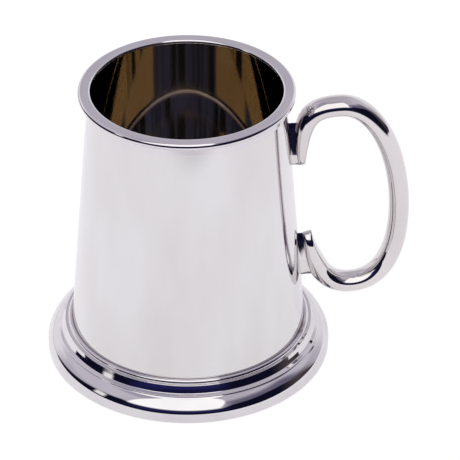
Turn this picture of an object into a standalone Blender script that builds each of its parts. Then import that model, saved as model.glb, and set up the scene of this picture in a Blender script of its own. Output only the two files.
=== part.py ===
"""Baby mug in polished metal: a tapered wall, an applied rim ring, a let-in bottom,
a moulded foot ring and a cast C handle soldered on by two pads.

Run with: blender --background --python part.py
Units are metres and +Z is up. The handle points to +X. The origin is on the surface that the
mug stands on, under the middle of the whole mug, handle included.
"""
import math

import bmesh
import bpy
import numpy as np

MM = 0.001

# Seam left between two soldered pieces
SEAM = 0.3 * MM

# Tapered wall, sizes on its outside
MUG_HEIGHT = 75.0 * MM
NECK_R = 24.45 * MM
FOOT_SEAT_R = 29.55 * MM
WALL = 0.7 * MM
MOUTH_ROUND = 0.55 * MM

# Rim ring: a lip that overhangs a low sleeve. Each arc of a moulding is a radius in mm and the angle
# that its normal reaches, in degrees above outwards; a negative radius is hollow.
RIM_HEIGHT = 4.1 * MM
LIP_R = 26.6 * MM
LIP_NOSE = ((0.6, 56), (0.9, 28), (1.15, 5), (0.9, -70))
SLEEVE_THICKNESS = 0.35 * MM
LIP_HOLLOW_R = 0.7 * MM

# Foot ring, from its collar down to the base
FOOT_HEIGHT = 9.2 * MM
FOOT_R = 35.9 * MM
BEAD_CREST_R = 29.95 * MM
BEAD_NOSE = ((0.5, 66), (0.75, 30), (1.5, 16), (0.3, -20))
TREAD_WIDTH = 0.72 * MM
TREAD_FALL = 0.05 * MM
COVE_START = 24
COVE_FACE = ((-18.0, 30), (-0.3, 66))
COVE_LEDGE = 0.68 * MM
QUIRK = 0.3 * MM
QUIRK_LEAN = 0.1 * MM
ROLL_START = 62
ROLL_NOSE = ((5.9, 30.5), (4.5, 16.5), (1.5, 0))
BASE_TUCK = 0.55 * MM
BASE_FLAT = 1.3 * MM
FOOT_SHELL = 1.2 * MM
LEDGE_WIDTH = 3.6 * MM
LEDGE_THICKNESS = 1.1 * MM
COLLAR_DEPTH = 2.2 * MM

# Bottom: a disc whose edge sweeps up against the wall
BOTTOM_TOP_Z = 14.2 * MM
DISC_THICKNESS = 1.0 * MM
BOTTOM_COVE = 2.8 * MM
DISC_EDGE = 0.25 * MM

# Handle: the middle line's crown, reach and low point, measured from the mug's axis and the base
CROWN_OUT = 38.0 * MM
CROWN_Z = 67.7 * MM
REACH = 53.35 * MM
REACH_Z = 36.2 * MM
LOW_OUT = 41.3 * MM
LOW_Z = 15.45 * MM
UPPER_TIP_Z = 51.3 * MM
LOWER_TIP_Z = 31.2 * MM
LOWER_TIP_LEAN = 0.26

# How far the curve runs on straight from each of those points
UPPER_TONGUE_PULL = 12.5 * MM
CROWN_PULL_IN = 8.9 * MM
CROWN_PULL_OUT = 8.4 * MM
REACH_PULL_UP = 17.3 * MM
REACH_PULL_DOWN = 10.7 * MM
LOW_PULL_OUT = 9.0 * MM
LOW_PULL_IN = 9.1 * MM
LOWER_TONGUE_PULL = 4.8 * MM

# Handle section: half sizes in the grip and at the tongues
GRIP_HALF_THICKNESS = 2.55 * MM
GRIP_HALF_WIDTH = 3.15 * MM
TONGUE_HALF_THICKNESS = 1.2 * MM
TONGUE_HALF_WIDTH = 2.55 * MM
UPPER_TAPER_LENGTH = 15.0 * MM
LOWER_TAPER_LENGTH = 11.0 * MM
TIP_ROUND = 4.2 * MM
GRIP_ROUNDNESS = 2.1
TONGUE_ROUNDNESS = 3.2

# Pads between the tongues and the wall
UPPER_STANDOFF = 0.95 * MM
LOWER_STANDOFF = 1.15 * MM
PAD_HALF_WIDTH = 2.2 * MM
UPPER_PAD_CROWN = 9.0 * MM
LOWER_PAD_CROWN = 4.2 * MM
PAD_FOOT = 2.2 * MM
UPPER_PAD_HEIGHT = 12.0 * MM
LOWER_PAD_HEIGHT = 12.4 * MM
PAD_TIP_INSET = 0.2 * MM
PAD_OVERRUN = 0.6 * MM

# Fineness of the round forms, with angles in degrees
TURNED_STEPS = 64
MOULDING_ANGLE = 20.0
COVE_POINTS = 6
ROUND_POINTS = 5
LINE_POINTS = 40
SECTION_POINTS = 18
SPAN_POINTS = 11
TIP_STATIONS = 4
TIP_START_ANGLE = 15.0
PAD_LEVELS = 5
PAD_START_ANGLE = 20.0
SHARP_ANGLE = math.radians(32.0)

# Heights and radii that follow from the sizes above
NECK_Z = MUG_HEIGHT - RIM_HEIGHT
LEDGE_Z = FOOT_HEIGHT - COLLAR_DEPTH
WALL_FOOT_Z = LEDGE_Z + SEAM
WALL_SLOPE = (FOOT_SEAT_R - NECK_R) / (NECK_Z - FOOT_HEIGHT)


def wall_r(z):
    """Outside radius of the tapered wall at height z."""
    return NECK_R + (NECK_Z - z) * WALL_SLOPE


# The mug's own axis stands to the -X side of the origin, because the handle reaches out to +X
AXIS_X = (FOOT_R - (REACH + GRIP_HALF_THICKNESS)) / 2


def clear_scene():
    """Remove whatever objects the file holds."""
    for item in list(bpy.data.objects):
        bpy.data.objects.remove(item, do_unlink=True)


def metal(name, colour, roughness):
    """Polished metal as a Principled material."""
    material = bpy.data.materials.new(name)
    material.use_nodes = True
    shader = material.node_tree.nodes["Principled BSDF"]
    shader.inputs["Base Color"].default_value = (*colour, 1.0)
    shader.inputs["Metallic"].default_value = 1.0
    shader.inputs["Roughness"].default_value = roughness
    return material


def add_object(name, bm, material):
    """Turn a bmesh into a smooth shaded object that stands on the mug's axis."""
    bmesh.ops.recalc_face_normals(bm, faces=bm.faces)
    mesh = bpy.data.meshes.new(name)
    bm.to_mesh(mesh)
    bm.free()
    mesh.shade_smooth()
    mesh.set_sharp_from_angle(angle=SHARP_ANGLE)
    if material:
        mesh.materials.append(material)
    item = bpy.data.objects.new(name, mesh)
    item.location.x = AXIS_X
    bpy.context.scene.collection.objects.link(item)
    return item


def add_guide(name, bm):
    """An object that only cuts or joins others."""
    item = add_object(name, bm, None)
    item.hide_render = True
    item.display_type = "WIRE"
    return item


def arc(centre, radii, start, end, count):
    """Points on an elliptical arc, as (radius, height), with angles in degrees from outwards."""
    angles = np.radians(np.linspace(start, end, count))
    return [(centre[0] + radii[0] * math.cos(a), centre[1] + radii[1] * math.sin(a)) for a in angles]


def moulding(start, angle, arcs):
    """Points of a moulding that runs down its outer side, each arc smooth with the last."""
    points = [start]
    for radius, end in arcs:
        r, z = points[-1]
        steps = max(1, math.ceil(abs(end - angle) / MOULDING_ANGLE))
        first = math.radians(angle)
        for turn in np.radians(np.linspace(angle, end, steps + 1))[1:]:
            points.append((r + radius * MM * (math.cos(turn) - math.cos(first)),
                           z + radius * MM * (math.sin(turn) - math.sin(first))))
        angle = end
    return points


def moved_to(points, widest_r):
    """Move a moulding out or in, so that its widest point has that radius."""
    shift = widest_r - max(r for r, z in points)
    return [(r + shift, z) for r, z in points]


def turned(outline):
    """Turn a closed outline of (radius, height) points round the mug's axis."""
    bm = bmesh.new()
    verts = [bm.verts.new((r, 0.0, z)) for r, z in outline]
    edges = [bm.edges.new(pair) for pair in zip(verts, verts[1:] + verts[:1])]
    bmesh.ops.spin(bm, geom=verts + edges, cent=(0, 0, 0), axis=(0, 0, 1), dvec=(0, 0, 0),
                   angle=2 * math.pi, steps=TURNED_STEPS, use_merge=True, use_duplicate=False)
    bmesh.ops.remove_doubles(bm, verts=bm.verts, dist=1e-7)
    return bm


def barrel_outline():
    """The wall: open at both ends, with its inner edge rounded at the mouth."""
    mouth_inner_r = wall_r(MUG_HEIGHT) - WALL
    rounding = arc((mouth_inner_r + MOUTH_ROUND, MUG_HEIGHT - MOUTH_ROUND),
                   (MOUTH_ROUND, MOUTH_ROUND), 90, 180, ROUND_POINTS)
    return [(wall_r(WALL_FOOT_Z), WALL_FOOT_Z),
            (wall_r(MUG_HEIGHT), MUG_HEIGHT),
            *rounding,
            (wall_r(WALL_FOOT_Z) - WALL, WALL_FOOT_Z)]


def rim_outline():
    """The rim ring: a flat topped lip with a rounded nose, hollowed beneath into a sleeve."""
    top_r = wall_r(MUG_HEIGHT) + SEAM
    sleeve_top_r = top_r + SLEEVE_THICKNESS
    nose = moved_to(moulding((0.0, MUG_HEIGHT), 90, LIP_NOSE), LIP_R)
    under_z = nose[-1][1]
    hollow = arc((sleeve_top_r + LIP_HOLLOW_R, under_z - LIP_HOLLOW_R),
                 (LIP_HOLLOW_R, LIP_HOLLOW_R), 90, 180, ROUND_POINTS)
    return [(top_r, MUG_HEIGHT),
            *nose,
            *hollow,
            (wall_r(NECK_Z) + SEAM + SLEEVE_THICKNESS, NECK_Z),
            (wall_r(NECK_Z) + SEAM, NECK_Z)]


def foot_outline():
    """The foot ring: bead, tread, cove and roll outside, a ledge and a hollow underside inside."""
    bead = moulding((BEAD_CREST_R, FOOT_HEIGHT), 90, BEAD_NOSE)
    bead_r, bead_z = bead[-1]
    cove = moulding((bead_r + TREAD_WIDTH, bead_z - TREAD_FALL), COVE_START, COVE_FACE)
    corner_r, corner_z = cove[-1]
    ledge_angle = math.radians(90 - COVE_FACE[-1][1])
    ledge_r = corner_r + COVE_LEDGE
    ledge_z = corner_z - COVE_LEDGE * math.tan(ledge_angle)
    roll_top_z = ledge_z - QUIRK
    roll = moved_to(moulding((ledge_r + QUIRK_LEAN, roll_top_z), ROLL_START, ROLL_NOSE), FOOT_R)
    widest_z = roll[-1][1]
    tuck = arc((FOOT_R - BASE_TUCK, BASE_TUCK), (BASE_TUCK, BASE_TUCK), 0, -90, ROUND_POINTS)
    hollow = arc((ledge_r, widest_z), (FOOT_R - FOOT_SHELL - ledge_r, roll_top_z - FOOT_SHELL - widest_z),
                 0, 90, ROUND_POINTS)
    seat_r = wall_r(LEDGE_Z) + SEAM
    ledge_under_z = LEDGE_Z - LEDGE_THICKNESS
    return [(seat_r, LEDGE_Z),
            (wall_r(FOOT_HEIGHT) + SEAM, FOOT_HEIGHT),
            *bead,
            *cove,
            (ledge_r, ledge_z),
            *roll,
            *tuck,
            (FOOT_R - BASE_TUCK - BASE_FLAT, 0.0),
            *hollow,
            (bead_r, ledge_under_z),
            (seat_r - LEDGE_WIDTH, ledge_under_z),
            (seat_r - LEDGE_WIDTH, LEDGE_Z)]


def disc_outline():
    """The bottom: a flat disc let into the wall, whose upper edge sweeps up in a cove."""
    under_z = BOTTOM_TOP_Z - DISC_THICKNESS
    edge_z = BOTTOM_TOP_Z + BOTTOM_COVE
    under_r = wall_r(under_z) - WALL - SEAM
    edge_r = wall_r(edge_z) - WALL - SEAM
    cove = arc((edge_r - DISC_EDGE - BOTTOM_COVE, edge_z), (BOTTOM_COVE, BOTTOM_COVE), 0, -90, COVE_POINTS)
    return [(0.0, under_z),
            (under_r, under_z),
            (edge_r, edge_z),
            *cove,
            (0.0, BOTTOM_TOP_Z)]


def bezier(a, b, c, d, count):
    """Points on one cubic span, without its last one."""
    t = np.linspace(0.0, 1.0, count, endpoint=False)[:, None]
    return (1 - t) ** 3 * a + 3 * (1 - t) ** 2 * t * b + 3 * (1 - t) * t ** 2 * c + t ** 3 * d


def handle_line(count):
    """The handle's middle line as (outward, height) points, from the upper tip to the lower tip."""
    upper_out = wall_r(UPPER_TIP_Z) + UPPER_STANDOFF + TONGUE_HALF_THICKNESS
    lower_out = wall_r(LOWER_TIP_Z) + LOWER_STANDOFF + TONGUE_HALF_THICKNESS
    upper = np.array((upper_out, UPPER_TIP_Z))
    crown = np.array((CROWN_OUT, CROWN_Z))
    reach = np.array((REACH, REACH_Z))
    low = np.array((LOW_OUT, LOW_Z))
    lower = np.array((lower_out, LOWER_TIP_Z))
    out = np.array((1.0, 0.0))
    up = np.array((0.0, 1.0))
    lean = np.array((LOWER_TIP_LEAN, -1.0))
    spans = [
        (upper, upper + up * UPPER_TONGUE_PULL, crown - out * CROWN_PULL_IN, crown),
        (crown, crown + out * CROWN_PULL_OUT, reach + up * REACH_PULL_UP, reach),
        (reach, reach - up * REACH_PULL_DOWN, low + out * LOW_PULL_OUT, low),
        (low, low - out * LOW_PULL_IN, lower + lean * LOWER_TONGUE_PULL, lower),
    ]
    return np.concatenate([bezier(*span, count) for span in spans] + [lower[None]])


def handle_stations(line):
    """Distances along the line of the handle's sections, close together at the rounded tips."""
    lengths = np.concatenate(([0.0], np.cumsum(np.linalg.norm(np.diff(line, axis=0), axis=1))))
    total = lengths[-1]
    angles = np.radians(np.linspace(TIP_START_ANGLE, 90.0, TIP_STATIONS, endpoint=False))
    tip = TIP_ROUND * (1.0 - np.cos(angles))
    middle = np.linspace(TIP_ROUND, total - TIP_ROUND, 4 * SPAN_POINTS)
    return lengths, np.concatenate((tip, middle, total - tip[::-1]))


def handle_section(distance_to_tip, taper_length):
    """Half thickness, half width and roundness of the handle at a distance from its nearer tip."""
    t = min(distance_to_tip / taper_length, 1.0)
    blend = t * t * (3.0 - 2.0 * t)
    thickness = TONGUE_HALF_THICKNESS + (GRIP_HALF_THICKNESS - TONGUE_HALF_THICKNESS) * blend
    width = TONGUE_HALF_WIDTH + (GRIP_HALF_WIDTH - TONGUE_HALF_WIDTH) * blend
    roundness = TONGUE_ROUNDNESS + (GRIP_ROUNDNESS - TONGUE_ROUNDNESS) * blend
    if distance_to_tip < TIP_ROUND:
        width *= math.sqrt(1.0 - (1.0 - distance_to_tip / TIP_ROUND) ** 2)
    return thickness, width, roundness


def handle_loft():
    """The C itself: superellipse sections lofted along the middle line, closed at both tips."""
    line = handle_line(LINE_POINTS)
    lengths, stations = handle_stations(line)
    tangents = np.gradient(line, lengths, axis=0)
    bm = bmesh.new()
    rings = []
    for station in stations:
        centre = [np.interp(station, lengths, line[:, k]) for k in (0, 1)]
        tangent = np.array([np.interp(station, lengths, tangents[:, k]) for k in (0, 1)])
        tangent /= np.linalg.norm(tangent)
        to_lower_tip = lengths[-1] - station
        ends = ((station, UPPER_TAPER_LENGTH), (to_lower_tip, LOWER_TAPER_LENGTH))
        thickness, width, roundness = handle_section(*min(ends))
        ring = []
        for k in range(SECTION_POINTS):
            angle = 2 * math.pi * k / SECTION_POINTS
            across = math.copysign(abs(math.cos(angle)) ** (2 / roundness), math.cos(angle)) * thickness
            side = math.copysign(abs(math.sin(angle)) ** (2 / roundness), math.sin(angle)) * width
            ring.append(bm.verts.new((centre[0] - tangent[1] * across, side, centre[1] + tangent[0] * across)))
        rings.append(ring)
    for ring, following in zip(rings, rings[1:]):
        for k in range(SECTION_POINTS):
            after = (k + 1) % SECTION_POINTS
            bm.faces.new((ring[k], ring[after], following[after], following[k]))
    bm.faces.new(rings[0])
    bm.faces.new(rings[-1])
    return bm


def pad_loft(low_z, high_z, foot, crown, line):
    """A pad: level slices from inside the wall to the handle's middle line, narrowed over the length of
    its foot and of its crown."""
    order = np.argsort(line[:, 1])
    bm = bmesh.new()
    levels = np.concatenate((end_levels(low_z, foot), end_levels(high_z, -crown)[::-1]))
    slices = []
    for z in levels:
        inner = wall_r(z) - PAD_OVERRUN
        outer = float(np.interp(z, line[order, 1], line[order, 0]))
        half = PAD_HALF_WIDTH
        for share in ((z - low_z) / foot, (high_z - z) / crown):
            half *= math.sqrt(1.0 - (1.0 - min(share, 1.0)) ** 2)
        corners = ((inner, -half), (outer, -half), (outer, half), (inner, half))
        slices.append([bm.verts.new((x, y, z)) for x, y in corners])
    for lower, upper in zip(slices, slices[1:]):
        for k in range(4):
            after = (k + 1) % 4
            bm.faces.new((lower[k], lower[after], upper[after], upper[k]))
    bm.faces.new(slices[0])
    bm.faces.new(slices[-1])
    return bm


def end_levels(end_z, reach):
    """Heights of a pad's slices near one of its rounded ends, which reaches that far up or down."""
    angles = np.radians(np.linspace(PAD_START_ANGLE, 90.0, PAD_LEVELS))
    return end_z + reach * (1.0 - np.cos(angles))


def wall_clearance():
    """A solid cone one seam larger than the wall, which shapes the pads' soldered faces."""
    low_z = FOOT_HEIGHT
    high_z = NECK_Z
    return turned([(0.0, low_z), (wall_r(low_z) + SEAM, low_z), (wall_r(high_z) + SEAM, high_z), (0.0, high_z)])


def boolean(item, other, operation):
    """Join or cut an object with a guide."""
    modifier = item.modifiers.new(other.name, "BOOLEAN")
    modifier.operation = operation
    modifier.object = other
    modifier.solver = "EXACT"


def build_handle(material):
    """Loft the C, join its two pads to it and fit them to the wall."""
    line = handle_line(LINE_POINTS)
    middle = len(line) // 2
    handle = add_object("handle", handle_loft(), material)
    upper_low_z = UPPER_TIP_Z + PAD_TIP_INSET
    upper_pad = add_guide("upper_pad_guide", pad_loft(upper_low_z, upper_low_z + UPPER_PAD_HEIGHT,
                                                      PAD_FOOT, UPPER_PAD_CROWN, line[:middle // 2]))
    lower_high_z = LOWER_TIP_Z - PAD_TIP_INSET
    lower_pad = add_guide("lower_pad_guide", pad_loft(lower_high_z - LOWER_PAD_HEIGHT, lower_high_z,
                                                      PAD_FOOT, LOWER_PAD_CROWN,
                                                      line[middle + middle // 2 + 1:]))
    clearance = add_guide("wall_clearance_guide", wall_clearance())
    boolean(handle, upper_pad, "UNION")
    boolean(handle, lower_pad, "UNION")
    boolean(handle, clearance, "DIFFERENCE")
    return handle


def main():
    """Build the mug's five pieces."""
    clear_scene()
    spun = metal("spun_wall_metal", (0.80, 0.79, 0.81), 0.10)
    turned_metal = metal("turned_moulding_metal", (0.78, 0.77, 0.80), 0.08)
    sheet = metal("bottom_sheet_metal", (0.72, 0.70, 0.70), 0.18)
    cast = metal("cast_handle_metal", (0.79, 0.78, 0.80), 0.09)
    add_object("barrel", turned(barrel_outline()), spun)
    add_object("rim_ring", turned(rim_outline()), turned_metal)
    add_object("bottom_disc", turned(disc_outline()), sheet)
    add_object("foot_ring", turned(foot_outline()), turned_metal)
    build_handle(cast)


main()
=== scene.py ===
"""Looks of the baby mug: polished pewter on a white studio table.

The turned pieces are outlines of radius and height with rounded corners, turned on a lathe that
Geometry Nodes makes. The handle is lofted along its own curve, with flared pads to the wall.
Units are metres, +Z is up and the handle points to +X.
"""
import math

import bpy
import numpy as np
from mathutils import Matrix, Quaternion, Vector


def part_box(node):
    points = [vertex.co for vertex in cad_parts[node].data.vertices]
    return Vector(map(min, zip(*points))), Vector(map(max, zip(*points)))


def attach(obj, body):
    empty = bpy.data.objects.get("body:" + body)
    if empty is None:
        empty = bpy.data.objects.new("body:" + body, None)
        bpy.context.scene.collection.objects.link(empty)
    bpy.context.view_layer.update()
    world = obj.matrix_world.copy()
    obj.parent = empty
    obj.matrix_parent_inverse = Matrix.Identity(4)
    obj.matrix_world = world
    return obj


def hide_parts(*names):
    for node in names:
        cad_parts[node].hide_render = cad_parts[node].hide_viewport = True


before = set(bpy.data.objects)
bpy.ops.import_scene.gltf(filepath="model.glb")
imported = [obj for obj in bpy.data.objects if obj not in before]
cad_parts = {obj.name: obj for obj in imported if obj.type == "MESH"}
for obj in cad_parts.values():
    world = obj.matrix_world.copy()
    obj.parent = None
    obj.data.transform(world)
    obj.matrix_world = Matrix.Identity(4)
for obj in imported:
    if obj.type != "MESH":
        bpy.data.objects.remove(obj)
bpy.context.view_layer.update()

MM = 0.001
DEGREES = 180 / math.pi

# Sizes that the frame gives
barrel_low, barrel_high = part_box("barrel")
rim_low, rim_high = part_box("rim_ring")
disc_low, disc_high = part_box("bottom_disc")
foot_low, foot_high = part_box("foot_ring")
AXIS_X = (foot_low.x + foot_high.x) / 2
MUG_HEIGHT = rim_high.z
NECK_Z = rim_low.z
LIP_R = (rim_high.x - rim_low.x) / 2
WALL_FOOT_Z = barrel_low.z
WALL_FOOT_R = (barrel_high.x - barrel_low.x) / 2
FOOT_HEIGHT = foot_high.z
FOOT_R = (foot_high.x - foot_low.x) / 2
DISC_UNDER_Z = disc_low.z
DISC_EDGE_Z = disc_high.z

# Wall and rim. A moulding's arcs are (radius in mm, end angle), as the function moulding says.
NECK_R = 24.45 * MM
WALL = 0.7 * MM
MOUTH_ROUND = 0.7 * MM
MOUTH_DEPTH = 0.9 * MM
LIP_NOSE = ((0.6, 56), (0.9, 28), (1.15, 5), (0.9, -70))
SLEEVE_THICKNESS = 0.65 * MM
LIP_HOLLOW_R = 0.7 * MM

# Foot ring, from its collar down to the base
BEAD_NOSE = ((0.46, 90), (0.5, 66), (0.75, 30), (1.5, 16), (0.3, -20))
BEAD_START = 150
TREAD_WIDTH = 0.72 * MM
TREAD_FALL = 0.05 * MM
COVE_FACE = ((-18.0, 30), (-0.3, 66))
COVE_START = 24
COVE_LEDGE = 0.68 * MM
LEDGE_CORNER_ROUND = 0.08 * MM
QUIRK = 0.3 * MM
ROLL_NOSE = ((5.9, 30.5), (4.5, 16.5), (1.5, 0))
ROLL_START = 62
BASE_TUCK = 0.55 * MM
BASE_FLAT = 1.3 * MM
FOOT_SHELL = 1.2 * MM
HOLLOW_LOW_ROUND = 1.5 * MM
HOLLOW_HIGH_ROUND = 1.0 * MM
LEDGE_WIDTH = 3.6 * MM
LEDGE_Z = 7.0 * MM
LEDGE_THICKNESS = 1.1 * MM

# Rounding of the small edges
EDGE_ROUND = 0.12 * MM

# Bottom: its corner to the wall, and how far its top lies under the disc's upper edge in the frame
BOTTOM_COVE = 1.4 * MM
BOTTOM_DROP = 1.8 * MM

# Handle: its middle line from the upper tip to the lower one, outward from the mug's axis and up
CROWN_OUT = 38.0 * MM
CROWN_Z = 67.7 * MM
REACH = 53.35 * MM
REACH_Z = 36.2 * MM
LOW_OUT = 41.3 * MM
LOW_Z = 15.45 * MM
UPPER_TIP_Z = 51.3 * MM
LOWER_TIP_Z = 31.2 * MM
LOWER_TIP_LEAN = 0.26
UPPER_TONGUE_PULL = 12.5 * MM
CROWN_PULL_IN = 8.9 * MM
CROWN_PULL_OUT = 8.4 * MM
REACH_PULL_UP = 17.3 * MM
REACH_PULL_DOWN = 10.7 * MM
LOW_PULL_OUT = 9.0 * MM
LOW_PULL_IN = 9.1 * MM
LOWER_TONGUE_PULL = 4.8 * MM
GRIP_HALF_THICKNESS = 2.54 * MM
GRIP_HALF_WIDTH = 3.1 * MM
TONGUE_HALF_THICKNESS = 1.2 * MM
TONGUE_HALF_WIDTH = 2.55 * MM
UPPER_TAPER_LENGTH = 15.0 * MM
LOWER_TAPER_LENGTH = 11.0 * MM
TIP_ROUND = 4.2 * MM
GRIP_ROUNDNESS = 2.1
TONGUE_ROUNDNESS = 3.2
UPPER_STANDOFF = 0.95 * MM
LOWER_STANDOFF = 1.15 * MM

# Pads between the tongues and the wall
PAD_HALF_WIDTH = 2.2 * MM
PAD_FLARE = 0.3 * MM
PAD_FLARE_POWER = 3
UPPER_PAD_CROWN = 9.0 * MM
LOWER_PAD_CROWN = 7.0 * MM
PAD_FOOT = 2.2 * MM
PAD_CROWN_POWER = 0.8
UPPER_PAD_HEIGHT = 12.0 * MM
LOWER_PAD_HEIGHT = 12.4 * MM
PAD_TIP_INSET = 0.2 * MM
PAD_SINK = 0.3 * MM

# Fineness of the turned pieces: steps round the axis, degrees to a step on a moulding, steps on a rounded
# corner and on the small arcs, and the points that keep a long run's shading flat
TURNED_STEPS = 288
MOULDING_SPACING = 4.0
ARC_STEPS = 9
HOLLOW_STEPS = 10
MOUTH_STEPS = 14
TUCK_STEPS = 12
BOTTOM_COVE_STEPS = 16
SUPPORT = 0.06 * MM
LONG_RUN = 0.7 * MM
MERGE_DISTANCE = 0.001 * MM

# The most of an outline's run that one corner's rounding may take
ROUNDING_SHARE = 0.45

# A face counts as inside the cup when it looks towards the axis by more than this
INSIDE_FACING = -0.8

# Fineness of the handle and its pads. The tips' first sections stand a few degrees round from the point
LINE_STEPS = 200
SECTION_POINTS = 64
HANDLE_STATIONS = 260
TIP_STATIONS = 14
TIP_FIRST_ANGLE = 3.0
PAD_EDGE_LEVELS = 18
PAD_MIDDLE_LEVELS = 12
PAD_COLUMNS = 17

# Faint cloudy haze on the metal, drawn out round the mug, and slow waves left by the polishing wheel
HAZE_PATCH = 14.3 * MM
HAZE_FLATTEN = 0.35
HAZE_LOW = 0.35
HAZE_HIGH = 0.65
WAVE_LENGTH = 6.67 * MM
WAVE_DEPTH = 0.006 * MM

# Hairlines left by the spinning and the buffing. Real ones are finer than the picture can show, so they
# are drawn this coarse
HAIRLINE_SPACING = 0.4 * MM
HAIRLINE_DEPTH = 0.0003 * MM

# Wear, which is haze times hairlines: the values at which it is least and most, and the roughness there,
# as shares of the finish's own
WEAR_LOW = 0.15
WEAR_HIGH = 0.4
LEAST_WEAR = 0.6
MOST_WEAR = 1.6

# The dark table and the white sheet on it: half the table's width, the sheet's edges and their softness,
# its colour and glow where the metal shows it, its white for the camera, and the share of the shaded
# sheet in that white, which keeps the mug's shadow
TABLE_HALF = 1.2
SHEET_FRONT = -215.0 * MM
SHEET_FRONT_SOFT = 45.0 * MM
SHEET_LEFT = -250.0 * MM
SHEET_LEFT_SOFT = 10.0 * MM
SHEET_IN_METAL = 0.9
SHEET_GLOW = 0.4
SHEET_SEEN = 1.06
SHADOW_SHARE = 0.25

# Top of the studio's dark side, as azimuths and elevations in degrees. Azimuth is 0 in front of the mug,
# on the camera's side, and grows towards the handle
DARK_SKYLINE = ((-135, -12), (-125, 3), (-75, 25), (-60, 29), (-50, 24), (20, 23), (30, 31), (62, 33),
                (75, 30), (112, -3), (125, -20))

# The bright panel: its brightness, and its right edge, in degrees of azimuth at the horizon and to a
# degree of elevation
PANEL_BRIGHTNESS = 1.3
PANEL_RIGHT = 8.5
PANEL_SLANT = 0.42

# Width of the dim streaks that the cup's inside shows, as noise to a degree of azimuth
STREAK_SCALE = 0.035

# The photograph's camera
CAMERA_AT = (-63.86 * MM, -596.82 * MM, 429.18 * MM)
CAMERA_AIM = (0.57 * MM, -0.73 * MM, 33.43 * MM)
CAMERA_ROLL = 0.003
CAMERA_LENS = 224.17
SENSOR_WIDTH = 36.0


def linear(colour):
    """Turn an sRGB hex colour, such as #E4E3E6, into linear red, green, blue and alpha."""
    channels = [int(colour[k:k + 2], 16) / 255 for k in (1, 3, 5)]
    return (*[c / 12.92 if c <= 0.04045 else ((c + 0.055) / 1.055) ** 2.4 for c in channels], 1.0)


def grey(level):
    """A neutral colour, in linear values, which may be brighter than white."""
    return (level, level, level, 1.0)


def add_node(tree, kind, inputs=None, **settings):
    """Add a node with its settings, and with a value or a link for each input that is given."""
    node = tree.nodes.new(kind)
    for name, value in settings.items():
        setattr(node, name, value)
    for key, value in (inputs or {}).items():
        if isinstance(value, bpy.types.NodeSocket):
            tree.links.new(value, node.inputs[key])
        else:
            node.inputs[key].default_value = value
    return node


def math_node(tree, operation, first, second=0.0):
    """The result of one sum on one or two values or sockets."""
    return add_node(tree, "ShaderNodeMath", {0: first, 1: second}, operation=operation).outputs[0]


def rise(tree, value, edge, soft):
    """A mask that goes from 0 to 1 where the value passes an edge that is soft to both sides."""
    return add_node(tree, "ShaderNodeMapRange",
                    {"Value": value, "From Min": edge - soft, "From Max": edge + soft},
                    interpolation_type="SMOOTHSTEP").outputs[0]


def fall(tree, value, edge, soft):
    """A mask that goes from 1 to 0 where the value passes an edge that is soft to both sides."""
    return math_node(tree, "SUBTRACT", 1.0, rise(tree, value, edge, soft))


def span(tree, value, low, high, soft):
    """A mask that is 1 where the value lies between low and high."""
    return math_node(tree, "MULTIPLY", rise(tree, value, low, soft), fall(tree, value, high, soft))


def layer(tree, under, over, *masks):
    """Lay a colour over another where all the masks are 1."""
    share = masks[0]
    for mask in masks[1:]:
        share = math_node(tree, "MULTIPLY", share, mask)
    return add_node(tree, "ShaderNodeMix", {"Factor": share, 6: under, 7: over},
                    data_type="RGBA").outputs[2]


def mix_shader(tree, share, first, second):
    """A mix of two shaders."""
    return add_node(tree, "ShaderNodeMixShader", {0: share, 1: first, 2: second}).outputs[0]


def wall_r(z):
    """Outside radius of the tapered wall at height z."""
    return NECK_R + (NECK_Z - z) * (WALL_FOOT_R - NECK_R) / (NECK_Z - WALL_FOOT_Z)


def arc(centre, radius, start, end, count):
    """Points on an arc, as (radius, height, 0), with angles in degrees from outwards."""
    angles = np.radians(np.linspace(start, end, count))
    return [(centre[0] + radius * math.cos(a), centre[1] + radius * math.sin(a), 0.0) for a in angles]


def moulding(start, angle, arcs):
    """Points of a moulding that runs down its outer side. Each arc of (radius in mm, end angle) goes on
    from the last without a corner. Angles are those of its normal, in degrees above outwards, and the
    radius of a hollow arc is negative."""
    points = [(*start, 0.0)]
    for radius, end in arcs:
        r, z, _ = points[-1]
        steps = max(2, math.ceil(abs(end - angle) / MOULDING_SPACING))
        for turn in np.radians(np.linspace(angle, end, steps + 1))[1:]:
            points.append((r + radius * MM * (math.cos(turn) - math.cos(math.radians(angle))),
                           z + radius * MM * (math.sin(turn) - math.sin(math.radians(angle))), 0.0))
        angle = end
    return points


def eased(corners):
    """Points of a closed outline, each corner of (radius, height, rounding) turned into a small arc."""
    points = []
    for k, (r, z, rounding) in enumerate(corners):
        here = np.array((r, z))
        if not rounding:
            points.append(here)
            continue
        before = np.array(corners[k - 1][:2]) - here
        after = np.array(corners[(k + 1) % len(corners)][:2]) - here
        reach_before, reach_after = np.linalg.norm(before), np.linalg.norm(after)
        before, after = before / reach_before, after / reach_after
        half = math.acos(float(np.clip(before @ after, -1, 1))) / 2
        tangent = min(rounding / math.tan(half), ROUNDING_SHARE * reach_before, ROUNDING_SHARE * reach_after)
        radius = tangent * math.tan(half)
        middle = (before + after) / np.linalg.norm(before + after)
        centre = here + middle * radius / math.sin(half)
        first = here + before * tangent - centre
        last = here + after * tangent - centre
        turn = math.atan2(first[0] * last[1] - first[1] * last[0], first @ last)
        for angle in np.linspace(0.0, turn, ARC_STEPS):
            c, s = math.cos(angle), math.sin(angle)
            points.append(centre + np.array((first[0] * c - first[1] * s, first[0] * s + first[1] * c)))
    return points


def supported(points):
    """Add a point near both ends of every long straight run, so that its shading stays flat."""
    result = []
    for here, following in zip(points, points[1:] + points[:1]):
        result.append(here)
        run = following - here
        length = np.linalg.norm(run)
        if length > LONG_RUN:
            step = run / length * SUPPORT
            result += [here + step, following - step]
    return result


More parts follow.
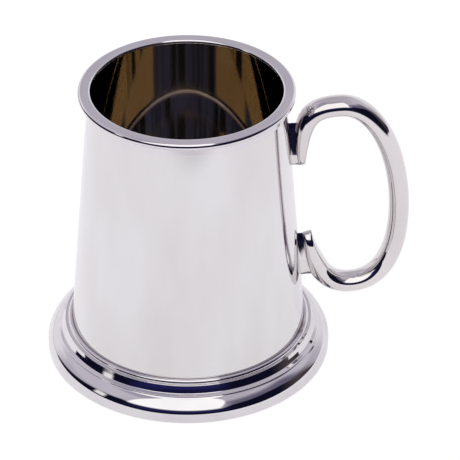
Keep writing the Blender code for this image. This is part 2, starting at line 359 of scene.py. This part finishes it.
def outline_mesh(name, corners):
    """A closed outline in the plane of radius and height, as a mesh of edges, outer side upwards."""
    points = supported(eased(corners))
    area = sum(a[0] * b[1] - b[0] * a[1] for a, b in zip(points, points[1:] + points[:1]))
    if area < 0:
        points.reverse()
    mesh = bpy.data.meshes.new(name)
    edges = [(k, (k + 1) % len(points)) for k in range(len(points))]
    mesh.from_pydata([(p[0], 0.0, p[1]) for p in points], edges, [])
    return mesh


def lathe_tree():
    """Geometry Nodes lathe: turns an outline of edges round an upright axis into a closed solid."""
    tree = bpy.data.node_groups.new("lathe", "GeometryNodeTree")
    sockets = tree.interface
    sockets.new_socket("Outline", in_out="INPUT", socket_type="NodeSocketGeometry")
    steps = sockets.new_socket("Steps", in_out="INPUT", socket_type="NodeSocketInt")
    axis = sockets.new_socket("Axis", in_out="INPUT", socket_type="NodeSocketVector")
    merge = sockets.new_socket("Merge Distance", in_out="INPUT", socket_type="NodeSocketFloat")
    finish = sockets.new_socket("Finish", in_out="INPUT", socket_type="NodeSocketMaterial")
    sockets.new_socket("Solid", in_out="OUTPUT", socket_type="NodeSocketGeometry")
    given = add_node(tree, "NodeGroupInput").outputs

    count = add_node(tree, "GeometryNodeAttributeDomainSize", {"Geometry": given["Outline"]},
                     component="MESH").outputs["Point Count"]
    rows = math_node(tree, "ADD", count, 1.0)
    columns = math_node(tree, "ADD", given["Steps"], 1.0)
    grid = add_node(tree, "GeometryNodeMeshGrid", {"Vertices X": columns, "Vertices Y": rows})
    index = add_node(tree, "GeometryNodeInputIndex").outputs[0]
    column = math_node(tree, "FLOOR", math_node(tree, "DIVIDE", index, rows))
    row = math_node(tree, "MODULO", index, rows)
    point = math_node(tree, "MODULO", row, count)
    place = add_node(tree, "GeometryNodeInputPosition").outputs[0]
    spot = add_node(tree, "GeometryNodeSampleIndex",
                    {"Geometry": given["Outline"], "Value": place, "Index": point},
                    data_type="FLOAT_VECTOR", domain="POINT").outputs["Value"]
    turn = math_node(tree, "DIVIDE", column, given["Steps"])
    angle = math_node(tree, "MULTIPLY", turn, 2 * math.pi)
    turned = add_node(tree, "ShaderNodeVectorRotate", {"Vector": spot, "Angle": angle},
                      rotation_type="Z_AXIS").outputs[0]
    placed = add_node(tree, "ShaderNodeVectorMath", {0: turned, 1: given["Axis"]}, operation="ADD").outputs[0]
    moved = add_node(tree, "GeometryNodeSetPosition", {"Geometry": grid.outputs["Mesh"], "Position": placed})
    closed = add_node(tree, "GeometryNodeMergeByDistance",
                      {"Geometry": moved.outputs[0], "Distance": given["Merge Distance"]})
    smooth = add_node(tree, "GeometryNodeSetShadeSmooth", {0: closed.outputs[0]})
    real = add_node(tree, "GeometryNodeRealizeInstances", {"Geometry": smooth.outputs[0]})
    done = add_node(tree, "GeometryNodeSetMaterial",
                    {"Geometry": real.outputs[0], "Material": given["Finish"]})
    add_node(tree, "NodeGroupOutput", {"Solid": done.outputs[0]})
    return tree, {"steps": steps.identifier, "axis": axis.identifier,
                  "merge": merge.identifier, "finish": finish.identifier}


def add_piece(name, mesh):
    """Link a mesh to the scene as an object at the origin."""
    piece = bpy.data.objects.new(name, mesh)
    bpy.context.scene.collection.objects.link(piece)
    return piece


def turned_piece(name, corners, material, lathe):
    """Turn an outline on the lathe and keep the result as a plain mesh."""
    tree, sockets = lathe
    blank = add_piece(name, outline_mesh(name + "_outline", corners))
    modifier = blank.modifiers.new("lathe", "NODES")
    modifier.node_group = tree
    modifier[sockets["steps"]] = TURNED_STEPS
    modifier[sockets["axis"]] = (AXIS_X, 0.0, 0.0)
    modifier[sockets["merge"]] = MERGE_DISTANCE
    modifier[sockets["finish"]] = material
    graph = bpy.context.evaluated_depsgraph_get()
    mesh = bpy.data.meshes.new_from_object(blank.evaluated_get(graph), depsgraph=graph)
    blank.modifiers.remove(modifier)
    blank.data = mesh
    return blank


def line_inside(piece, material):
    """Give the faces that look towards the mug's axis a second material, the darker pewter that paints the
    shade inside the cup.
    """
    mesh = piece.data
    mesh.materials.append(material)
    for face in mesh.polygons:
        outwards = Vector((face.center.x - AXIS_X, face.center.y, 0.0))
        if outwards.length and face.normal.dot(outwards.normalized()) < INSIDE_FACING:
            face.material_index = 1


def wall_corners():
    """The tapered wall, from the bottom up to the rim's mouth."""
    top_z = MUG_HEIGHT - MOUTH_DEPTH
    return [(wall_r(WALL_FOOT_Z) - WALL, WALL_FOOT_Z, EDGE_ROUND),
            (wall_r(WALL_FOOT_Z), WALL_FOOT_Z, EDGE_ROUND),
            (wall_r(top_z), top_z, EDGE_ROUND),
            (wall_r(top_z) - WALL, top_z, EDGE_ROUND / 2)]


def rim_corners():
    """The rim: a rounded mouth, a flat top, a lip with a round nose, and a sleeve down the wall."""
    mouth_r = wall_r(MUG_HEIGHT) - WALL
    nose = moulding((0.0, MUG_HEIGHT), 90, LIP_NOSE)
    shift = LIP_R - max(point[0] for point in nose)
    nose = [(r + shift, z, 0.0) for r, z, _ in nose]
    under_z = nose[-1][1]
    hollow_z = under_z - LIP_HOLLOW_R
    hollow_r = wall_r(hollow_z) + SLEEVE_THICKNESS + LIP_HOLLOW_R
    return [(wall_r(MUG_HEIGHT - MOUTH_DEPTH) - WALL, MUG_HEIGHT - MOUTH_DEPTH, EDGE_ROUND / 2),
            (wall_r(MUG_HEIGHT - MOUTH_DEPTH), MUG_HEIGHT - MOUTH_DEPTH, 0.0),
            (wall_r(NECK_Z), NECK_Z, 0.0),
            (wall_r(NECK_Z) + SLEEVE_THICKNESS, NECK_Z, EDGE_ROUND),
            *arc((hollow_r, hollow_z), LIP_HOLLOW_R, 180, 90, HOLLOW_STEPS),
            *reversed(nose),
            *arc((mouth_r + MOUTH_ROUND, MUG_HEIGHT - MOUTH_ROUND), MOUTH_ROUND, 90, 175, MOUTH_STEPS)]


def foot_corners():
    """The foot ring: bead, tread, cove and roll outside, a ledge and a hollow underside inside."""
    collar_r = wall_r(FOOT_HEIGHT)
    bead = moulding((0.0, FOOT_HEIGHT), BEAD_START, BEAD_NOSE)
    bead_top = max(point[1] for point in bead)
    bead = [(collar_r + r, z + FOOT_HEIGHT - bead_top, 0.0) for r, z, _ in bead]
    tread_r, tread_z, _ = bead[-1]
    cove = moulding((tread_r + TREAD_WIDTH, tread_z - TREAD_FALL), COVE_START, COVE_FACE)
    ledge_r, ledge_z, _ = cove[-1]
    ledge_slope = math.tan(math.radians(90 - COVE_FACE[-1][1]))
    ledge_end = (ledge_r + COVE_LEDGE, ledge_z - COVE_LEDGE * ledge_slope)
    roll = moulding((0.0, ledge_end[1] - QUIRK), ROLL_START, ROLL_NOSE)
    shift = FOOT_R - roll[-1][0]
    roll = [(r + shift, z, 0.0) for r, z, _ in roll]
    widest_z = roll[-1][1]
    inner_r = wall_r(LEDGE_Z)
    under_z = LEDGE_Z - LEDGE_THICKNESS
    shell = (ledge_end[0] + FOOT_SHELL, under_z - FOOT_SHELL / 2)
    return [(inner_r, LEDGE_Z, 0.0),
            (collar_r, bead[0][1], 0.0),
            *bead,
            *cove,
            (*ledge_end, LEDGE_CORNER_ROUND),
            *roll,
            (FOOT_R, BASE_TUCK, 0.0),
            *arc((FOOT_R - BASE_TUCK, BASE_TUCK), BASE_TUCK, -8, -90, TUCK_STEPS),
            (FOOT_R - BASE_TUCK - BASE_FLAT, 0.0, EDGE_ROUND),
            (FOOT_R - FOOT_SHELL, widest_z, HOLLOW_LOW_ROUND),
            (*shell, HOLLOW_HIGH_ROUND),
            (tread_r, under_z, EDGE_ROUND),
            (inner_r - LEDGE_WIDTH, under_z, EDGE_ROUND),
            (inner_r - LEDGE_WIDTH, LEDGE_Z, EDGE_ROUND)]


def disc_corners():
    """The bottom: a flat disc whose upper edge sweeps up into the wall."""
    top_z = DISC_EDGE_Z - BOTTOM_DROP
    edge_z = top_z + BOTTOM_COVE
    edge_r = wall_r(edge_z) - WALL
    cove = arc((edge_r - BOTTOM_COVE, edge_z), BOTTOM_COVE, -5, -90, BOTTOM_COVE_STEPS)
    return [(0.0, DISC_UNDER_Z, 0.0),
            (wall_r(DISC_UNDER_Z) - WALL, DISC_UNDER_Z, EDGE_ROUND),
            *cove,
            (0.0, top_z, 0.0)]


def bezier(a, b, c, d, count):
    """Points on one cubic span, without its last one."""
    t = np.linspace(0.0, 1.0, count, endpoint=False)[:, None]
    return (1 - t) ** 3 * a + 3 * (1 - t) ** 2 * t * b + 3 * (1 - t) * t ** 2 * c + t ** 3 * d


def handle_line(count):
    """The handle's middle line as (outward, height) points, from the upper tip to the lower tip."""
    upper = np.array((wall_r(UPPER_TIP_Z) + UPPER_STANDOFF + TONGUE_HALF_THICKNESS, UPPER_TIP_Z))
    lower = np.array((wall_r(LOWER_TIP_Z) + LOWER_STANDOFF + TONGUE_HALF_THICKNESS, LOWER_TIP_Z))
    crown = np.array((CROWN_OUT, CROWN_Z))
    reach = np.array((REACH, REACH_Z))
    low = np.array((LOW_OUT, LOW_Z))
    out = np.array((1.0, 0.0))
    up = np.array((0.0, 1.0))
    lean = np.array((LOWER_TIP_LEAN, -1.0))
    spans = [
        (upper, upper + up * UPPER_TONGUE_PULL, crown - out * CROWN_PULL_IN, crown),
        (crown, crown + out * CROWN_PULL_OUT, reach + up * REACH_PULL_UP, reach),
        (reach, reach - up * REACH_PULL_DOWN, low + out * LOW_PULL_OUT, low),
        (low, low - out * LOW_PULL_IN, lower + lean * LOWER_TONGUE_PULL, lower),
    ]
    return np.concatenate([bezier(*span, count) for span in spans] + [lower[None]])


def handle_section(distance_to_tip, taper_length):
    """Half thickness, half width and roundness of the handle at a distance from its nearer tip."""
    t = min(distance_to_tip / taper_length, 1.0)
    blend = t * t * (3.0 - 2.0 * t)
    thickness = TONGUE_HALF_THICKNESS + (GRIP_HALF_THICKNESS - TONGUE_HALF_THICKNESS) * blend
    width = TONGUE_HALF_WIDTH + (GRIP_HALF_WIDTH - TONGUE_HALF_WIDTH) * blend
    roundness = TONGUE_ROUNDNESS + (GRIP_ROUNDNESS - TONGUE_ROUNDNESS) * blend
    if distance_to_tip < TIP_ROUND:
        width *= math.sqrt(1.0 - (1.0 - distance_to_tip / TIP_ROUND) ** 2)
    return thickness, width, roundness


def handle_loft():
    """Vertices and faces of the C: sections lofted along the middle line, closed at both tips."""
    line = handle_line(LINE_STEPS)
    lengths = np.concatenate(([0.0], np.cumsum(np.linalg.norm(np.diff(line, axis=0), axis=1))))
    total = lengths[-1]
    angles = np.radians(np.linspace(TIP_FIRST_ANGLE, 90.0, TIP_STATIONS, endpoint=False))
    tip = TIP_ROUND * (1.0 - np.cos(angles))
    middle = np.linspace(TIP_ROUND, total - TIP_ROUND, HANDLE_STATIONS)
    stations = np.concatenate((tip, middle, total - tip[::-1]))
    tangents = np.gradient(line, lengths, axis=0)
    verts = []
    for station in stations:
        centre = [np.interp(station, lengths, line[:, k]) for k in (0, 1)]
        tangent = np.array([np.interp(station, lengths, tangents[:, k]) for k in (0, 1)])
        tangent /= np.linalg.norm(tangent)
        ends = ((station, UPPER_TAPER_LENGTH), (total - station, LOWER_TAPER_LENGTH))
        thickness, width, roundness = handle_section(*min(ends))
        for k in range(SECTION_POINTS):
            angle = 2 * math.pi * k / SECTION_POINTS
            c, s = math.cos(angle), math.sin(angle)
            across = math.copysign(abs(c) ** (2 / roundness), c) * thickness
            side = math.copysign(abs(s) ** (2 / roundness), s) * width
            verts.append((AXIS_X + centre[0] - tangent[1] * across, side, centre[1] + tangent[0] * across))
    return verts, loft_faces(len(stations), SECTION_POINTS)


def loft_faces(rings, around):
    """Quads between rings of vertices, with a cap at both ends."""
    faces = []
    for ring in range(rings - 1):
        for k in range(around):
            a = ring * around + k
            b = ring * around + (k + 1) % around
            faces.append((a, b, b + around, a + around))
    faces.append(tuple(reversed(range(around))))
    faces.append(tuple(range((rings - 1) * around, rings * around)))
    return faces


def solid_from(name, verts, faces, material):
    """A smooth shaded piece from vertices and faces, with its faces turned outwards."""
    mesh = bpy.data.meshes.new(name)
    mesh.from_pydata(verts, [], faces)
    mesh.materials.append(material)
    mesh.shade_smooth()
    piece = add_piece(name, mesh)
    mesh.update()
    volume = sum(Vector(p.center).dot(p.normal) * p.area for p in mesh.polygons)
    if volume < 0:
        mesh.flip_normals()
    return piece


def pad_loft(low_z, high_z, crown, line):
    """Vertices and faces of a pad. Its outline narrows over the length of its foot and of its crown, and
    is swept from the wall to the tongue with a flare at both."""
    order = np.argsort(line[:, 1])
    turns = np.radians(np.linspace(0.0, 90.0, PAD_EDGE_LEVELS))
    foot_levels = low_z + PAD_FOOT * (1.0 - np.cos(turns))
    crown_levels = high_z - crown * (1.0 - np.cos(turns))
    between = np.linspace(foot_levels[-1], crown_levels[-1], PAD_MIDDLE_LEVELS)[1:-1]
    levels = np.concatenate((foot_levels, between, crown_levels[::-1]))
    foot_share = np.clip((levels - low_z) / PAD_FOOT, 0.0, 1.0)
    crown_share = np.clip((high_z - levels) / crown, 0.0, 1.0)
    halves = np.sqrt(1.0 - (1.0 - foot_share) ** 2) * crown_share ** PAD_CROWN_POWER
    outline = [(half, z) for half, z in zip(halves, levels)]
    outline += [(-half, z) for half, z in zip(halves[-2:0:-1], levels[-2:0:-1])]
    shares = np.linspace(0.0, 1.0, PAD_COLUMNS)
    verts = []
    for share in shares:
        width = PAD_HALF_WIDTH - PAD_FLARE * (1.0 - abs(2 * share - 1) ** PAD_FLARE_POWER)
        for half, z in outline:
            inner = wall_r(z) - PAD_SINK
            outer = float(np.interp(z, line[order, 1], line[order, 0]))
            verts.append((AXIS_X + inner + (outer - inner) * share, half * width, z))
    return verts, loft_faces(len(shares), len(outline))


def polished(name, colour, stain, roughness, spin):
    """Polished pewter: a bright mirror with a faint haze, slow waves from the polishing wheel, and
    hairlines that run round the mug where it was spun or turned, or any way where it was buffed."""
    material = bpy.data.materials.new(name)
    material.use_nodes = True
    tree = material.node_tree
    shader = tree.nodes["Principled BSDF"]
    coords = add_node(tree, "ShaderNodeTexCoord").outputs["Object"]
    centred = add_node(tree, "ShaderNodeMapping",
                       {"Vector": coords, "Location": (-AXIS_X, 0.0, 0.0)}).outputs[0]
    drawn = add_node(tree, "ShaderNodeMapping",
                     {"Vector": centred, "Scale": (1.0, 1.0, HAZE_FLATTEN)}).outputs[0]
    haze = add_node(tree, "ShaderNodeTexNoise",
                    {"Vector": drawn, "Scale": 1 / HAZE_PATCH, "Detail": 3.0}).outputs[0]
    clouds = add_node(tree, "ShaderNodeMapRange",
                      {"Value": haze, "From Min": HAZE_LOW, "From Max": HAZE_HIGH}).outputs[0]
    tint = layer(tree, linear(stain), linear(colour), clouds)
    if spin:
        x, y, z = add_node(tree, "ShaderNodeSeparateXYZ", {0: centred}).outputs
        flat = add_node(tree, "ShaderNodeCombineXYZ", {0: x, 1: y}).outputs[0]
        radius = add_node(tree, "ShaderNodeVectorMath", {0: flat}, operation="LENGTH").outputs["Value"]
        lay, dimensions = {"W": math_node(tree, "ADD", radius, z)}, "1D"
    else:
        lay, dimensions = {"Vector": coords}, "3D"
    fine = add_node(tree, "ShaderNodeTexNoise", {**lay, "Scale": 1 / HAIRLINE_SPACING, "Detail": 2.0},
                    noise_dimensions=dimensions).outputs[0]
    wear = math_node(tree, "MULTIPLY", fine, haze)
    shine = add_node(tree, "ShaderNodeMapRange",
                     {"Value": wear, "From Min": WEAR_LOW, "From Max": WEAR_HIGH,
                      "To Min": roughness * LEAST_WEAR, "To Max": roughness * MOST_WEAR}).outputs[0]
    waves = add_node(tree, "ShaderNodeTexNoise",
                     {"Vector": coords, "Scale": 1 / WAVE_LENGTH, "Detail": 1.0}).outputs[0]
    wavy = add_node(tree, "ShaderNodeBump",
                    {"Height": waves, "Strength": 1.0, "Distance": WAVE_DEPTH}).outputs[0]
    lined = add_node(tree, "ShaderNodeBump", {"Height": fine, "Normal": wavy, "Strength": 1.0,
                                              "Distance": HAIRLINE_DEPTH}).outputs[0]
    tree.links.new(tint, shader.inputs["Base Color"])
    tree.links.new(shine, shader.inputs["Roughness"])
    tree.links.new(lined, shader.inputs["Normal"])
    shader.inputs["Metallic"].default_value = 1.0
    return material


def finish_piece(piece, node):
    """Bind a piece to the mug's body in place of its plain solid."""
    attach(piece, "root")
    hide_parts(node)


def build_mug():
    """Make every piece of the mug and bind it to the frame."""
    # Spun pewter wall: a clear bright mirror with faint rings
    spun = polished("polished_pewter_spun", "#E3E2E1", "#DCD9D7", 0.04, True)
    # Turned pewter mouldings: the sharpest mirror, fresh from the lathe's last cut and the buff
    turned = polished("polished_pewter_turned", "#E3E0E1", "#DBD8DA", 0.03, True)
    # Cast pewter handle: buffed by hand, so its hairlines run any way
    cast = polished("polished_pewter_cast", "#E2DEDC", "#DAD5D4", 0.04, False)
    # Pewter inside the cup and on the bottom: a darker, warmer copy of the outside's pewter, which paints
    # shade into the dim inside of the cup; it grows warmer and darker at every reflection
    inside = polished("spun_pewter_inside_painted_shade", "#BFAF93", "#B5A487", 0.05, True)
    bottom = polished("spun_pewter_bottom_painted_shade", "#BFAF93", "#B5A487", 0.05, False)

    lathe = lathe_tree()
    for name, corners, finish, painted_shade_lining, node, slot in (
            ("wall", wall_corners(), spun, inside, "barrel", "wall"),
            ("rim", rim_corners(), turned, inside, "rim_ring", "moulding"),
            ("foot", foot_corners(), turned, None, "foot_ring", "moulding"),
            ("bottom", disc_corners(), bottom, None, "bottom_disc", "bottom")):
        piece = turned_piece(name, corners, finish, lathe)
        if painted_shade_lining:
            line_inside(piece, painted_shade_lining)
        finish_piece(piece, node)

    line = handle_line(LINE_STEPS)
    upper_low_z = UPPER_TIP_Z + PAD_TIP_INSET
    lower_high_z = LOWER_TIP_Z - PAD_TIP_INSET
    upper_pad = pad_loft(upper_low_z, upper_low_z + UPPER_PAD_HEIGHT, UPPER_PAD_CROWN, line[:LINE_STEPS])
    lower_pad = pad_loft(lower_high_z - LOWER_PAD_HEIGHT, lower_high_z, LOWER_PAD_CROWN,
                         line[3 * LINE_STEPS + 1:])
    for name, loft in (("grip", handle_loft()), ("upper_pad", upper_pad), ("lower_pad", lower_pad)):
        finish_piece(solid_from(name, *loft, cast), "handle")


def build_floor():
    """A sheet of white paper on a dark table, which looks white everywhere to the camera itself."""
    half = TABLE_HALF
    mesh = bpy.data.meshes.new("table")
    mesh.from_pydata([(-half, -half, 0), (half, -half, 0), (half, half, 0), (-half, half, 0)], [],
                     [(0, 1, 2, 3)])
    table = add_piece("table", mesh)
    material = bpy.data.materials.new("white_paper")
    material.use_nodes = True
    tree = material.node_tree
    tree.nodes.clear()
    path = add_node(tree, "ShaderNodeLightPath").outputs
    place = add_node(tree, "ShaderNodeTexCoord").outputs["Object"]
    across, along, _ = add_node(tree, "ShaderNodeSeparateXYZ", {0: place}).outputs
    sheet = math_node(tree, "MULTIPLY", rise(tree, across, SHEET_LEFT, SHEET_LEFT_SOFT),
                      rise(tree, along, SHEET_FRONT, SHEET_FRONT_SOFT))
    white = math_node(tree, "MAXIMUM", path["Is Camera Ray"], sheet)
    shown = math_node(tree, "MAXIMUM", path["Is Camera Ray"], path["Is Glossy Ray"])

    paper = add_node(tree, "ShaderNodeBsdfDiffuse", {"Color": linear("#F2F2F2")}).outputs[0]
    shade = add_node(tree, "ShaderNodeBsdfDiffuse", {"Color": grey(SHEET_IN_METAL)}).outputs[0]
    glow = add_node(tree, "ShaderNodeEmission", {"Strength": SHEET_GLOW}).outputs[0]
    dark = add_node(tree, "ShaderNodeEmission", {"Color": linear("#1A1A30")}).outputs[0]
    pure = add_node(tree, "ShaderNodeEmission", {"Strength": SHEET_SEEN}).outputs[0]
    mirrored = add_node(tree, "ShaderNodeAddShader", {0: shade, 1: glow}).outputs[0]
    faint = mix_shader(tree, SHADOW_SHARE, pure, mirrored)
    bright = mix_shader(tree, path["Is Camera Ray"], mirrored, faint)
    reflected = mix_shader(tree, white, dark, bright)
    add_node(tree, "ShaderNodeOutputMaterial", {"Surface": mix_shader(tree, shown, paper, reflected)})
    mesh.materials.append(material)


def skyline(tree, azimuth, points):
    """The elevation of a skyline in any direction, from straight runs between its points."""
    height = points[0][1]
    for (start, low), (end, high) in zip(points, points[1:]):
        run = add_node(tree, "ShaderNodeMapRange", {"Value": azimuth, "From Min": start, "From Max": end,
                                                    "To Min": 0.0, "To Max": high - low}).outputs[0]
        height = math_node(tree, "ADD", run, height)
    return height


def room_colour(tree, azimuth, elevation, aside):
    """The studio as the mug's outside reflects it, one area over another."""
    room = linear("#C3BFCB")
    # Ceiling, straight overhead
    room = layer(tree, room, linear("#B5AABC"), rise(tree, elevation, 84, 4))
    # Paler walls to both sides
    room = layer(tree, room, linear("#D2CEDA"), span(tree, aside, 60, 150, 15),
                 span(tree, elevation, 25, 58, 4))
    # Grey screen high on the left
    room = layer(tree, room, linear("#ABA8B8"), span(tree, azimuth, -150, -60, 10),
                 span(tree, elevation, 60, 82, 4))
    # White wall behind the mug
    room = layer(tree, room, linear("#F4F2F8"), rise(tree, aside, 125, 12), fall(tree, elevation, 26, 3))
    # Dull wall on the right
    room = layer(tree, room, linear("#6E6A80"), span(tree, azimuth, 26, 96, 10),
                 fall(tree, elevation, 50, 9))
    # The dark side of the room, with a blue gleam in front and a brown one on the right
    over_dark = math_node(tree, "SUBTRACT", elevation, skyline(tree, azimuth, DARK_SKYLINE))
    room = layer(tree, room, linear("#101024"), fall(tree, over_dark, 0, 3))
    room = layer(tree, room, linear("#25255C"), span(tree, azimuth, -52, 24, 10),
                 span(tree, elevation, 10, 19, 5))
    room = layer(tree, room, linear("#4E4648"), span(tree, azimuth, 78, 100, 12),
                 span(tree, elevation, -2, 22, 8))
    # Small white card low on the left
    room = layer(tree, room, linear("#FFFFFF"), span(tree, azimuth, -81, -72, 2),
                 span(tree, elevation, 6, 22, 3))
    # Bright panel over the camera
    across = math_node(tree, "SUBTRACT", azimuth, math_node(tree, "MULTIPLY", elevation, PANEL_SLANT))
    return layer(tree, room, grey(PANEL_BRIGHTNESS), rise(tree, azimuth, -55, 1.5),
                 fall(tree, across, PANEL_RIGHT, 1.5), span(tree, elevation, 26, 79, 2.5))


def cup_colour(tree, azimuth, elevation, aside, bounces):
    """The dimmer room for light that has gone round the inside of the cup four times or more."""
    # Four reflections: blue-grey, and brown from behind
    fourth = layer(tree, linear("#4B5273"), linear("#AA906F"), rise(tree, aside, 120, 6))
    # More: deep blue from below, and gold from above with a black patch to either side
    high = layer(tree, linear("#C5A87C"), linear("#191919"), span(tree, aside, 80, 100, 5))
    later = layer(tree, linear("#596195"), high, rise(tree, elevation, 25, 3))
    cup = layer(tree, fourth, later, math_node(tree, "GREATER_THAN", bounces, 4.5))
    # Dim upright streaks, except behind
    streaks = add_node(tree, "ShaderNodeTexNoise", {"W": azimuth, "Scale": STREAK_SCALE, "Detail": 1.0},
                       noise_dimensions="1D").outputs[0]
    return layer(tree, cup, linear("#272730"), rise(tree, streaks, 0.52, 0.1), fall(tree, aside, 124, 5))


def build_world():
    """The studio round the mug, by azimuth from the camera's side and by elevation, in degrees. Light that
    has been reflected three times comes from a dull violet room, and light that has been reflected more
    often from the cup's own dim one."""
    world = bpy.data.worlds.new("studio")
    bpy.context.scene.world = world
    world.use_nodes = True
    tree = world.node_tree
    tree.nodes.clear()
    direction = add_node(tree, "ShaderNodeTexCoord").outputs["Generated"]
    x, y, z = add_node(tree, "ShaderNodeSeparateXYZ", {0: direction}).outputs
    turn = math_node(tree, "ARCTAN2", x, math_node(tree, "MULTIPLY", y, -1.0))
    azimuth = math_node(tree, "MULTIPLY", turn, DEGREES)
    elevation = math_node(tree, "MULTIPLY", math_node(tree, "ARCSINE", z), DEGREES)
    aside = math_node(tree, "ABSOLUTE", azimuth)

    path = add_node(tree, "ShaderNodeLightPath").outputs
    bounces = path["Glossy Depth"]
    colour = layer(tree, room_colour(tree, azimuth, elevation, aside), linear("#9B90AD"),
                   math_node(tree, "GREATER_THAN", bounces, 2.5))
    colour = layer(tree, colour, cup_colour(tree, azimuth, elevation, aside, bounces),
                   math_node(tree, "GREATER_THAN", bounces, 3.5))
    room = add_node(tree, "ShaderNodeBackground", {"Color": colour, "Strength": 1.0}).outputs[0]
    white = add_node(tree, "ShaderNodeBackground", {"Color": (1, 1, 1, 1), "Strength": 1.0}).outputs[0]
    add_node(tree, "ShaderNodeOutputWorld",
             {"Surface": mix_shader(tree, path["Is Camera Ray"], room, white)})


def build_camera():
    """The camera at the photograph's place."""
    data = bpy.data.cameras.new("camera")
    data.lens = CAMERA_LENS
    data.sensor_width = SENSOR_WIDTH
    camera = bpy.data.objects.new("camera", data)
    bpy.context.scene.collection.objects.link(camera)
    camera.location = CAMERA_AT
    look = (Vector(CAMERA_AIM) - Vector(CAMERA_AT)).to_track_quat("-Z", "Y")
    camera.rotation_euler = (look @ Quaternion((0.0, 0.0, 1.0), CAMERA_ROLL)).to_euler()
    bpy.context.scene.camera = camera


build_camera()
build_mug()
build_floor()
build_world()
bpy.context.scene.view_settings.view_transform = "Standard"
